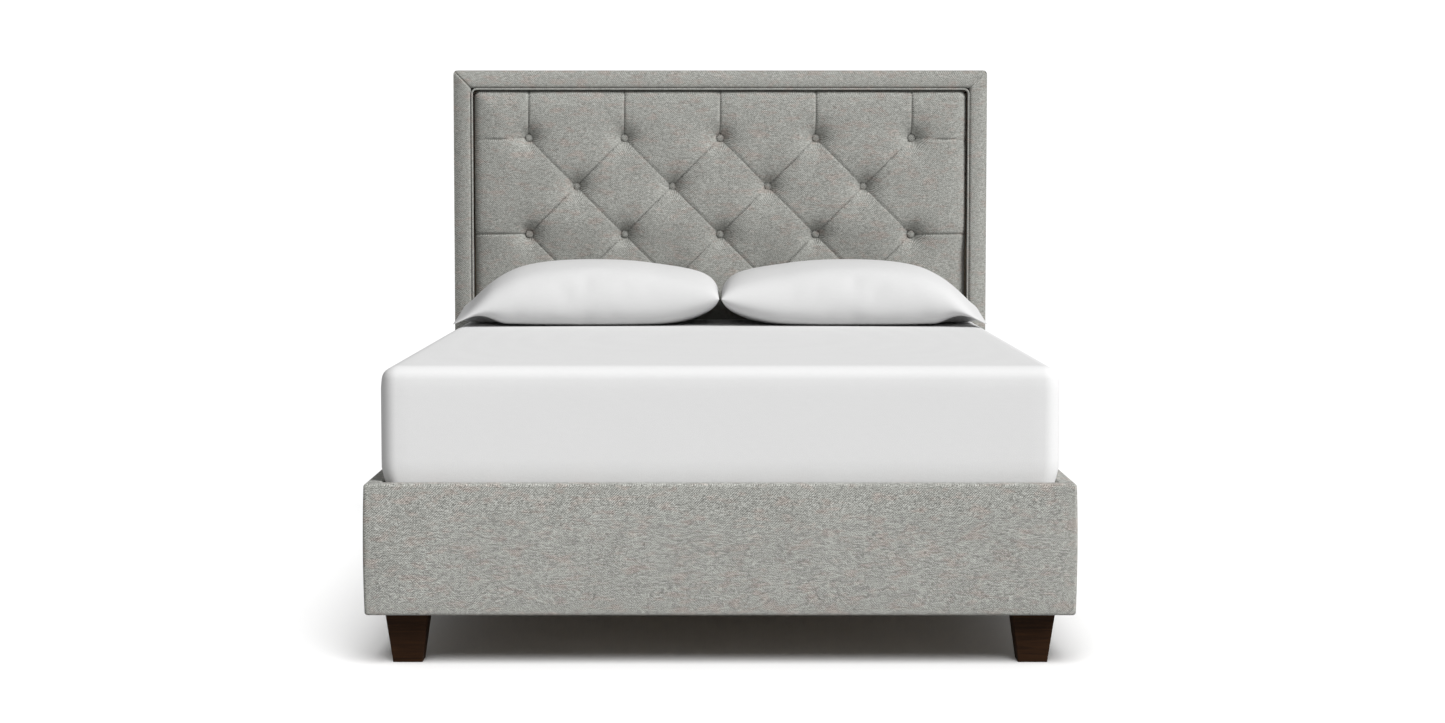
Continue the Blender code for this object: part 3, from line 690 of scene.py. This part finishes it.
def border_length(name, low, high, along, seams, space):
    """One length of the border, hollow for its timber and cut along its seams."""
    piece = padded_block(name, low, high, BORDER_ROLL, BORDER_SLICES, (along,), [space])
    pick_only(piece)
    bpy.ops.object.mode_set(mode="EDIT")
    for corner, normal in seams:
        bpy.ops.mesh.select_all(action="SELECT")
        bpy.ops.mesh.bisect(plane_co=corner, plane_no=normal, clear_outer=True)
        bpy.ops.mesh.select_all(action="SELECT")
        bpy.ops.mesh.fill_holes(sides=0)
        for step in SEAM_STEPS:
            bpy.ops.mesh.select_all(action="SELECT")
            bpy.ops.mesh.bisect(plane_co=corner - normal * step, plane_no=normal)
    bpy.ops.mesh.select_all(action="SELECT")
    bpy.ops.mesh.normals_make_consistent(inside=False)
    bpy.ops.object.mode_set(mode="OBJECT")
    shape_border(piece)
    finish_piece(piece, shaded_headboard_tweed, "bed_frame",
                 stands_for=[name.removesuffix("_upholstery")])


print("the padding is", round(timber_front - border_front, 4), "m deep over the posts")

# %% The two sides of the border
wood_spare = Vector((WOOD_GAP,) * 3)
beyond_back = Vector((0, PAST, 0))
below = Vector((0, 0, PAST))
for side_name, side in (("left", -1), ("right", 1)):
    low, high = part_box("border_" + side_name)
    post_low, post_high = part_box(f"headboard_{side_name}_post")
    corner = Vector((side * outer_x, 0, border_top_z))
    border_length(f"border_{side_name}_upholstery", low, high, 2,
                  [(corner, Vector((-side, 0, 1)).normalized())],
                  (post_low - wood_spare - below, post_high + wood_spare + beyond_back))

# %% The top of the border
beam_low, beam_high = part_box("headboard_top_beam")
sideways = Vector((PAST, 0, 0))
border_length("border_top_upholstery", top_low, top_high, 0,
              [(Vector((side * outer_x, 0, border_top_z)), Vector((side, 0, -1)).normalized())
               for side in (-1, 1)],
              (beam_low - wood_spare - sideways, beam_high + wood_spare + sideways + beyond_back))

# %% [markdown]
# ## The welt
#
# A welt is a cord sewn into a strip of the same tweed. It lies in the joint between border and
# panel. A curve with a round bevel gives the cord its thickness, and its two top corners are
# quarter circles, because a cord can't turn on the spot. The strip, or flange, follows the same
# route and runs back between border and panel, where it is stapled.

# %% The welt's route
welt_low, welt_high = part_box("border_welt")
welt_radius = (welt_high.y - welt_low.y) / 2
WELT_CORNER = 0.014
WELT_TURN_STEPS = 6

welt_x = welt_high.x - welt_radius
welt_top = welt_high.z - welt_radius
route = [Vector((-welt_x, 0, welt_low.z))]
for turn_middle_x, start in ((-welt_x + WELT_CORNER, math.pi), (welt_x - WELT_CORNER, math.pi / 2)):
    for step in range(WELT_TURN_STEPS + 1):
        angle = start - math.pi / 2 * step / WELT_TURN_STEPS
        route.append(Vector((turn_middle_x + WELT_CORNER * math.cos(angle), 0,
                             welt_top - WELT_CORNER + WELT_CORNER * math.sin(angle))))
route.append(Vector((welt_x, 0, welt_low.z)))
print("the route has", len(route), "points")

# %% The welt's cord
BEVEL_STEPS = 3


def curve_along(name, places):
    """A curve with straight stretches between the places given."""
    curve = bpy.data.curves.new(name, "CURVE")
    curve.dimensions = "3D"
    spline = curve.splines.new("POLY")
    spline.points.add(len(places) - 1)
    for point, place in zip(spline.points, places):
        point.co = (*place, 1)
    return curve


def mesh_of(name, curve, place=(0, 0, 0), turn=(0, 0, 0)):
    """Turns a curve into a mesh piece with the place and turn given."""
    piece = bpy.data.objects.new(name, curve)
    bpy.context.scene.collection.objects.link(piece)
    piece.location = place
    piece.rotation_euler = turn
    pick_only(piece)
    bpy.ops.object.convert(target="MESH")
    return bpy.context.object


def join_to(piece, other):
    """Joins another piece's mesh into a piece."""
    pick_only(piece)
    other.select_set(True)
    bpy.ops.object.join()


cord_y = welt_low.y + welt_radius
cord_curve = curve_along("welt", [(place.x, cord_y, place.z) for place in route])
cord_curve.bevel_depth = welt_radius
cord_curve.bevel_resolution = BEVEL_STEPS
cord_curve.use_fill_caps = True
welt = mesh_of("welt_piping", cord_curve)
bpy.ops.object.mode_set(mode="EDIT")
bpy.ops.mesh.select_all(action="SELECT")
bpy.ops.mesh.remove_doubles(threshold=1e-5)
bpy.ops.mesh.fill_holes(sides=0)
bpy.ops.mesh.normals_make_consistent(inside=False)
bpy.ops.object.mode_set(mode="OBJECT")
print("the cord is", round(2 * welt_radius, 4), "m thick")

# %% The welt's flange
FLANGE_FRONT, FLANGE_BACK = welt_high.y - 0.002, 1.0385
FLANGE_THICKNESS = 0.002

flange_curve = curve_along("flange", [(place.x, place.z, 0) for place in route])
flange_curve.extrude = (FLANGE_BACK - FLANGE_FRONT) / 2
flange_curve.dimensions = "2D"
flange = mesh_of("welt_flange", flange_curve, (0, (FLANGE_FRONT + FLANGE_BACK) / 2, 0),
                 (math.pi / 2, 0, 0))
settle(flange)
cloth_wall = flange.modifiers.new("cloth", "SOLIDIFY")
cloth_wall.thickness = FLANGE_THICKNESS
cloth_wall.offset = 0
bpy.ops.object.modifier_apply(modifier=cloth_wall.name)
join_to(welt, flange)
finish_piece(welt, shaded_headboard_tweed, "bed_frame", stands_for=["border_welt"])

# %% [markdown]
# ## The tufted panel
#
# Foam is covered with one sheet of tweed. Covered buttons, tied through the board behind, pull it
# in at the crossing points of a diamond pattern, and the spare cloth falls into folds that run
# from button to button. Outside the diamonds the folds run straight to the panel's top and sides.
#
# It could be simulated, but the folds have to be crisp and exact, so the panel is worked out
# instead: a fine grid is laid so that each fold runs along its points, and each point is pushed
# back by how near it is to a fold, to a button and to the panel's edge. Above the pillows the
# panel stands prouder than below, where pillows and mattress press on it.

# %% Where the buttons are
ROWS = {row: sorted((n for n in nodes if n.startswith(f"tuft_button_{row}_")),
                    key=lambda n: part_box(n)[0].x) for row in (1, 2, 3, 4)}
button_places = {name: (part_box(name)[0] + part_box(name)[1]) / 2 for row in ROWS.values() for name in row}
rows_x = {row: [button_places[n].x for n in names] for row, names in ROWS.items()}
rows_z = {row: button_places[names[0]].z for row, names in ROWS.items()}
pad_low, pad_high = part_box("tufted_pad")
print("buttons in each row:", {row: len(names) for row, names in ROWS.items()})

# %% The folds
ROW_FALL = 0.007
NEIGHBOURS_WITHIN = 0.2

folds = []
for row in (1, 2, 3):
    for x in rows_x[row]:
        for next_x in rows_x[row + 1]:
            if abs(x - next_x) < NEIGHBOURS_WITHIN:
                folds.append(((x, rows_z[row]), (next_x, rows_z[row + 1])))
for x in rows_x[1]:
    folds.append(((x, rows_z[1]), (x, pad_high.z)))
for x in rows_x[4]:
    folds.append(((x, rows_z[4]), (x, pad_low.z)))
for row, fall in ((1, ROW_FALL), (3, 0.0)):
    for x, edge in ((rows_x[row][0], pad_low.x), (rows_x[row][-1], pad_high.x)):
        folds.append(((x, rows_z[row]), (edge, rows_z[row] - fall)))
print("the panel has", len(folds), "folds")

# %% The grid
CELLS_PER_HALF_PITCH = 34
PAD_ROLL = 0.022
PAD_ROLL_STEPS = 8


def grid_places(anchors, low, high):
    """Places for the grid's lines: even between the anchors, closer together at the rolled edges."""
    cell = (anchors[1] - anchors[0]) / CELLS_PER_HALF_PITCH
    ends = [low + PAD_ROLL, *anchors, high - PAD_ROLL]
    places = [low + PAD_ROLL]
    for start, end in zip(ends, ends[1:]):
        count = max(1, round((end - start) / cell))
        places.extend(np.linspace(start, end, count + 1)[1:])
    turn = [PAD_ROLL * math.sin(math.pi / 2 * step / PAD_ROLL_STEPS)
            for step in range(1, PAD_ROLL_STEPS + 1)]
    return np.array([low + PAD_ROLL - t for t in reversed(turn)] + places
                    + [high - PAD_ROLL + t for t in turn])


columns = grid_places(sorted({*rows_x[1], *rows_x[2]}), pad_low.x, pad_high.x)
levels = grid_places(sorted(rows_z.values()), pad_low.z, pad_high.z)
bpy.ops.object.select_all(action="DESELECT")
bpy.ops.mesh.primitive_grid_add(x_subdivisions=len(columns) - 1, y_subdivisions=len(levels) - 1, size=1)
panel = bpy.context.object
panel.name = "tufted_panel"
flat = points_of(panel)
column = np.rint((flat[:, 0] + 0.5) * (len(columns) - 1)).astype(int)
level = np.rint((flat[:, 1] + 0.5) * (len(levels) - 1)).astype(int)
laid = np.stack([columns[column], np.full(len(flat), pad_low.y), levels[level]], axis=1)
put_points(panel, laid)
print("the grid has", len(laid), "points")

# %% The relief
FAR = 1e3
PAD_PROUD_LOW, PAD_PROUD = 0.009, 0.022
PROUD_FROM, PROUD_OVER = 0.86, 0.12
FOLD_DEPTH = 0.005
FOLD_HALF_WIDTH = 0.0030
PUFF = 0.0024
PUFF_REACH = 0.022
DIMPLE_DEPTH = 0.055
DIMPLE_REACH = 0.026
DIMPLE_FLOOR = 0.022
EDGE_FALLS = ((0.010, 0.009), (0.020, 0.075))
PANEL_CORNER = 0.020


def distance_to(points, start, end):
    """How far each point is from a straight stretch."""
    start, end = np.array(start), np.array(end)
    way = end - start
    share = np.clip((points - start) @ way / (way @ way), 0, 1)
    return np.linalg.norm(points - start - share[:, None] * way, axis=1)


face = laid[:, [0, 2]]
to_fold = np.full(len(face), FAR)
for start, end in folds:
    to_fold = np.minimum(to_fold, distance_to(face, start, end))
to_button = np.full(len(face), FAR)
for place in button_places.values():
    to_button = np.minimum(to_button, np.hypot(face[:, 0] - place.x, face[:, 1] - place.z))

back = FOLD_DEPTH * np.clip(1 - to_fold / FOLD_HALF_WIDTH, 0, 1) + PUFF * np.exp(-to_fold / PUFF_REACH)
back += DIMPLE_DEPTH * np.exp(-to_button / DIMPLE_REACH)
rise = np.clip((face[:, 1] - PROUD_FROM) / PROUD_OVER, 0, 1)
back -= PAD_PROUD_LOW + (PAD_PROUD - PAD_PROUD_LOW) * rise * rise * (3 - 2 * rise)
back = np.minimum(back, DIMPLE_FLOOR)
to_edge = np.minimum.reduce([face[:, 0] - pad_low.x, pad_high.x - face[:, 0],
                             face[:, 1] - pad_low.z, pad_high.z - face[:, 1]])
for depth, reach in EDGE_FALLS:
    back += depth * np.exp(-to_edge / reach)
laid[:, 1] += back
round_top_corners(laid, pad_high.x, pad_high.z, PANEL_CORNER)
put_points(panel, laid)
print("the deepest point is", round(float(back.max()), 4), "m behind the face")

# %% The panel's rim and back
RIM_STEPS = ((0.004, 0.0022), (0.005, 0.0010), (0.006, 0.0))
LAST_RIM_STEP = 0.004
PANEL_SMOOTH_DEGREES = 60

pick_only(panel)
bpy.ops.object.mode_set(mode="EDIT")
bpy.ops.mesh.select_all(action="SELECT")
bpy.ops.mesh.region_to_loop()
pad_middle = (pad_low + pad_high) / 2
for forward, outward in RIM_STEPS:
    bpy.ops.mesh.extrude_edges_move(TRANSFORM_OT_translate={"value": (0, forward, 0)})
    wider = [(side + 2 * outward) / side for side in (pad_high.x - pad_low.x, pad_high.z - pad_low.z)]
    bpy.ops.transform.resize(value=(wider[0], 1, wider[1]), center_override=pad_middle)
bpy.ops.mesh.extrude_edges_move(TRANSFORM_OT_translate={"value": (0, LAST_RIM_STEP, 0)})
bpy.ops.transform.resize(value=(1, 0, 1), center_override=(0, pad_high.y, 0))
bpy.ops.mesh.edge_face_add()
bpy.ops.mesh.select_all(action="SELECT")
bpy.ops.mesh.normals_make_consistent(inside=False)
bpy.ops.object.mode_set(mode="OBJECT")
finish_piece(panel, shaded_headboard_tweed, "bed_frame", PANEL_SMOOTH_DEGREES,
             stands_for=["tufted_pad"])

# %% [markdown]
# ## The covered buttons
#
# A covered button is a metal shell with a disc of cloth pulled over it. It is a low dome with a
# tight rim, and a shank behind it goes into the panel. It is modelled once, from a sphere that is
# flattened, and copied to every place, each copy with its own mesh.

# %% One button
button_low, button_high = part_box(ROWS[1][0])
button_radius = (button_high.x - button_low.x) / 2
button_front = button_low.y
BUTTON_THICKNESS = 0.009
FRONT_SHARE = 0.62
RIM_POWER = 0.9
SHANK_RADIUS, SHANK_LENGTH = 0.003, 0.024

bpy.ops.object.select_all(action="DESELECT")
bpy.ops.mesh.primitive_uv_sphere_add(segments=32, ring_count=16, radius=1, rotation=(math.pi / 2, 0, 0))
button = bpy.context.object
settle(button)
dome = points_of(button)
swell = BUTTON_THICKNESS * np.where(dome[:, 1] < 0, FRONT_SHARE, 1 - FRONT_SHARE)
dome[:, 1] = np.sign(dome[:, 1]) * np.abs(dome[:, 1]) ** RIM_POWER * swell
dome[:, [0, 2]] *= button_radius
dome[:, 1] += button_front + BUTTON_THICKNESS * FRONT_SHARE
put_points(button, dome)
bpy.ops.mesh.primitive_cylinder_add(vertices=12, radius=SHANK_RADIUS, depth=SHANK_LENGTH,
                                    location=(0, button_high.y - SHANK_LENGTH / 2, 0),
                                    rotation=(math.pi / 2, 0, 0))
shank = bpy.context.object
settle(shank)
join_to(button, shank)
print("a button is", round(button_radius * 2, 4), "m across")

# %% A button at every place
for name, place in button_places.items():
    copy = button.copy()
    copy.data = button.data.copy()
    copy.name = "covered_" + name.removeprefix("tuft_")
    bpy.context.scene.collection.objects.link(copy)
    copy.location = (place.x, 0, place.z)
    settle(copy)
    finish_piece(copy, shaded_headboard_tweed, "bed_frame", stands_for=[name])
bpy.data.objects.remove(button)

# %% [markdown]
# ## The mattress
#
# A deep mattress in a white fitted sheet. The sheet is taut, so all that shows is the mattress's
# own form: a long rounded shoulder, a face that swells between top and rail, and a top that is
# almost flat. Between the rails it keeps its width, and the tufted panel presses its head end in.

# %% The mattress's sizes
bed_low, bed_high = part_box("mattress")
MATTRESS_ROLL = 0.034
MATTRESS_SLICES = (0.03, 0.03, 0.02)
SIDE_SWELL, FOOT_SWELL = 0.010, 0.006
SWELL_START, SWELL_BELOW, SWELL_ABOVE = 0.002, 0.03, 0.05
SWELL_INWARD = 0.10
TOP_CROWN, TOP_DEPTH = 0.004, 0.02
HEAD_PRESS, HEAD_REACH = 0.0145, 0.10
print("the mattress is", round(bed_high.z - bed_low.z, 3), "m thick")


# %% The mattress
def ramp(value, start, length):
    """0 up to the start, rising evenly to 1 over the length."""
    return np.clip((value - start) / length, 0, 1)


mattress = padded_block("mattress_in_fitted_sheet", bed_low, bed_high, MATTRESS_ROLL, MATTRESS_SLICES)
shaped = points_of(mattress)
above_rail = ramp(shaped[:, 2], rail_high.z + SWELL_START, SWELL_BELOW) ** 0.5
round_side = above_rail * ramp(-shaped[:, 2], -bed_high.z, SWELL_ABOVE) ** 0.5
near_side = ramp(np.abs(shaped[:, 0]), bed_high.x - SWELL_INWARD, SWELL_INWARD)
shaped[:, 0] += np.sign(shaped[:, 0]) * SIDE_SWELL * round_side * near_side
near_foot = ramp(-shaped[:, 1], -bed_low.y - SWELL_INWARD, SWELL_INWARD)
shaped[:, 1] -= FOOT_SWELL * round_side * near_foot
near_top = ramp(shaped[:, 2], bed_high.z - TOP_DEPTH, TOP_DEPTH)
crown = arch(shaped[:, 0], bed_low.x, bed_high.x) * arch(shaped[:, 1], bed_low.y, bed_high.y)
shaped[:, 2] -= TOP_CROWN * (1 - crown) * near_top
shaped[:, 1] -= HEAD_PRESS * ramp(shaped[:, 1], bed_high.y - HEAD_REACH, HEAD_REACH)
put_points(mattress, shaped)
finish_piece(mattress, linen, "mattress", stands_for=["mattress"])

# %% [markdown]
# ## The pillows
#
# A pillow is a flat bag that is stuffed. Two sheets of cloth are laid on each other and joined
# round the edge, and a cloth simulation blows them up, so the sides draw in between the corners
# and the corners stay pointed, as cloth does it. The pillow is then laid on the mattress. It is
# flat where it rests, its outer end lies lower than its inner end, and its outer front corner,
# which holds little stuffing, falls to the sheet as a thin flap.

# %% The bag
pillow_low, pillow_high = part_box("pillow_left")
pillow_size = pillow_high - pillow_low
BAG_CELL = 0.010
BAG_SPARE = 1.06
FIRST_PUFF = 0.075
HUMP_POWER_X, HUMP_POWER_Y = 2.6, 2.2


def sewn_bag(name, width, depth):
    """Two sheets of cloth, joined round the edge and held a little apart."""
    sheets = []
    for face in (1, -1):
        bpy.ops.object.select_all(action="DESELECT")
        bpy.ops.mesh.primitive_grid_add(x_subdivisions=round(width / BAG_CELL),
                                        y_subdivisions=round(depth / BAG_CELL), size=1)
        sheet = bpy.context.object
        points = points_of(sheet)
        share_x, share_y = points[:, 0] * 2, points[:, 1] * 2
        hump = np.clip((1 - np.abs(share_x) ** HUMP_POWER_X) * (1 - np.abs(share_y) ** HUMP_POWER_Y),
                       0, 1)
        points[:, 2] = face * FIRST_PUFF * hump ** 0.5
        points[:, 0] *= width
        points[:, 1] *= depth
        put_points(sheet, points)
        if face < 0:
            bpy.ops.object.mode_set(mode="EDIT")
            bpy.ops.mesh.flip_normals()
            bpy.ops.object.mode_set(mode="OBJECT")
        sheets.append(sheet)
    sheets[0].select_set(True)
    bpy.ops.object.join()
    bag = bpy.context.object
    bag.name = name
    bpy.ops.object.mode_set(mode="EDIT")
    bpy.ops.mesh.select_all(action="SELECT")
    bpy.ops.mesh.remove_doubles(threshold=1e-5)
    bpy.ops.mesh.normals_make_consistent(inside=False)
    bpy.ops.object.mode_set(mode="OBJECT")
    return bag


pillow = sewn_bag("pillow_left_in_case", pillow_size.x * BAG_SPARE, pillow_size.y * BAG_SPARE)
print("the bag has", len(pillow.data.vertices), "points")

# %% Stuffing it
STUFFING_PRESSURE = 1.2
STUFFING_FRAMES = 16


def stuff(piece, pressure, frames):
    """Blows the bag up as cloth, and keeps the result."""
    pick_only(piece)
    cloth = piece.modifiers.new("stuffing", "CLOTH")
    cloth.settings.quality = 6
    cloth.settings.mass = 0.3
    cloth.settings.tension_stiffness = 25
    cloth.settings.compression_stiffness = 25
    cloth.settings.shear_stiffness = 8
    cloth.settings.bending_stiffness = 8
    cloth.settings.air_damping = 4
    cloth.settings.use_pressure = True
    cloth.settings.uniform_pressure_force = pressure
    cloth.settings.effector_weights.gravity = 0
    cloth.collision_settings.use_collision = False
    cloth.point_cache.frame_end = frames
    for number in range(1, frames + 1):
        bpy.context.scene.frame_set(number)
    bpy.ops.object.modifier_apply(modifier=cloth.name)
    bpy.context.scene.frame_set(1)


stuff(pillow, STUFFING_PRESSURE, STUFFING_FRAMES)
stuffed = points_of(pillow)
print("the stuffed pillow is", np.round(stuffed.max(0) - stuffed.min(0), 3))

# %% Laying it on the mattress
REST_GAP = 0.0006
SINKING = 0.024
SEAM_SHARE = 0.30
END_FROM, END_POWER = 0.5, 1.5
INNER_LIFT, OUTER_FALL = 0.022, 0.030
CORNER_FALL = 0.028
CORNER_HOLLOW, CORNER_THINNING = 0.85, 0.55
REST_ROUNDING = 0.006
OUTER_TAPER, TAPER_REACH, TAPER_MOST = 1.1, 0.17, 0.6

stuffed -= (stuffed.max(0) + stuffed.min(0)) / 2
size = stuffed.max(0) - stuffed.min(0)
stuffed *= np.array(pillow_size) / size
across = stuffed[:, 0] / (pillow_size.x / 2)
along = stuffed[:, 1] / (pillow_size.y / 2)
droop = ramp(-across, 0.70, 0.30) ** 1.3 * ramp(-along, 0.05, 0.95) ** 0.8
seam_height = pillow_size.z * SEAM_SHARE
upper = 2 * (pillow_size.z - seam_height) / pillow_size.z
lower = 2 * (seam_height + SINKING) / pillow_size.z
hollow_share = ramp(-across, 0.62, 0.2) * ramp(-along, 0.1, 0.4)
lower = lower * (1 - CORNER_HOLLOW * hollow_share)
upper = upper * (1 - np.clip(OUTER_TAPER * np.exp(-(across + 1) / TAPER_REACH), 0, TAPER_MOST))
stuffed[:, 2] *= np.where(stuffed[:, 2] > 0, upper, lower) * (1 - CORNER_THINNING * droop)
end_lift = np.where(across > 0, INNER_LIFT, -OUTER_FALL)
stuffed[:, 2] += end_lift * ramp(np.abs(across), END_FROM, 1 - END_FROM) ** END_POWER
stuffed[:, 2] -= droop * CORNER_FALL
stuffed += np.array([(pillow_low.x + pillow_high.x) / 2, (pillow_low.y + pillow_high.y) / 2,
                     pillow_low.z + seam_height])
rest_z = bed_high.z + REST_GAP
pressed = np.clip(rest_z + REST_ROUNDING - stuffed[:, 2], 0, None)
flattened = rest_z + REST_ROUNDING * np.exp(-pressed / REST_ROUNDING)
stuffed[:, 2] = np.where(pressed > 0, flattened, stuffed[:, 2])
put_points(pillow, stuffed)
print("the laid pillow is", np.round(stuffed.max(0) - stuffed.min(0), 3))

# %% Smoothing it
BEHIND_PILLOW = HEAD_PRESS + 0.0015

pick_only(pillow)
ironing = pillow.modifiers.new("ironing", "SMOOTH")
ironing.factor = 0.5
ironing.iterations = 10
bpy.ops.object.modifier_apply(modifier=ironing.name)
smoother = pillow.modifiers.new("smoother", "SUBSURF")
smoother.levels = 1
smoother.render_levels = 1
bpy.ops.object.modifier_apply(modifier=smoother.name)
ironed = points_of(pillow)
for axis, spare in ((0, 0.0), (1, BEHIND_PILLOW)):
    share = (ironed[:, axis] - ironed[:, axis].min()) / np.ptp(ironed[:, axis])
    ironed[:, axis] = pillow_low[axis] + share * (pillow_size[axis] - spare)
put_points(pillow, ironed)
print("the ironed pillow has", len(pillow.data.polygons), "faces")

# %% The other pillow, mirrored
PILLOW_SMOOTH_DEGREES = 180

other_pillow = pillow.copy()
other_pillow.data = pillow.data.copy()
other_pillow.name = "pillow_right_in_case"
bpy.context.scene.collection.objects.link(other_pillow)
mirrored = points_of(other_pillow)
mirrored[:, 0] *= -1
put_points(other_pillow, mirrored)
pick_only(other_pillow)
bpy.ops.object.mode_set(mode="EDIT")
bpy.ops.mesh.select_all(action="SELECT")
bpy.ops.mesh.normals_make_consistent(inside=False)
bpy.ops.object.mode_set(mode="OBJECT")
for piece, name in ((pillow, "pillow_left"), (other_pillow, "pillow_right")):
    finish_piece(piece, case_linen_with_painted_shade, name, PILLOW_SMOOTH_DEGREES, stands_for=[name])

# %% [markdown]
# ## Wood, steel and plastic
#
# The boards, slats, legs and fittings of the frame have their real shape already, so they keep
# their meshes and only get a finish. The grain of a board runs along its longest side.

# %% Finishes for the frame's own pieces
def finish_node(node):
    """Gives a frame piece the finish of its kind."""
    name = node.name
    low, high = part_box(name)
    longest = max(range(3), key=lambda axis: high[axis] - low[axis])
    if name.startswith("leg_"):
        finish, slot = espresso, "leg_wood"
    elif "bracket" in name or name == "centre_leg":
        finish, slot = zinc, "zinc_steel"
    elif name == "levelling_foot":
        finish, slot = black_plastic, "foot_plastic"
    elif name == "headboard_back_panel":
        finish, slot = black_cloth, "back_cloth"
    else:
        finish, slot = pine[longest], "frame_wood"
    node.data.materials.clear()
    node.data.materials.append(finish)
    return finish.name


replaced = {name for name, node in nodes.items() if node.hide_render}
kept = [node for name, node in nodes.items() if name not in replaced]
for node in kept:
    finish_node(node)
print("frame pieces with a new finish:", len(kept))
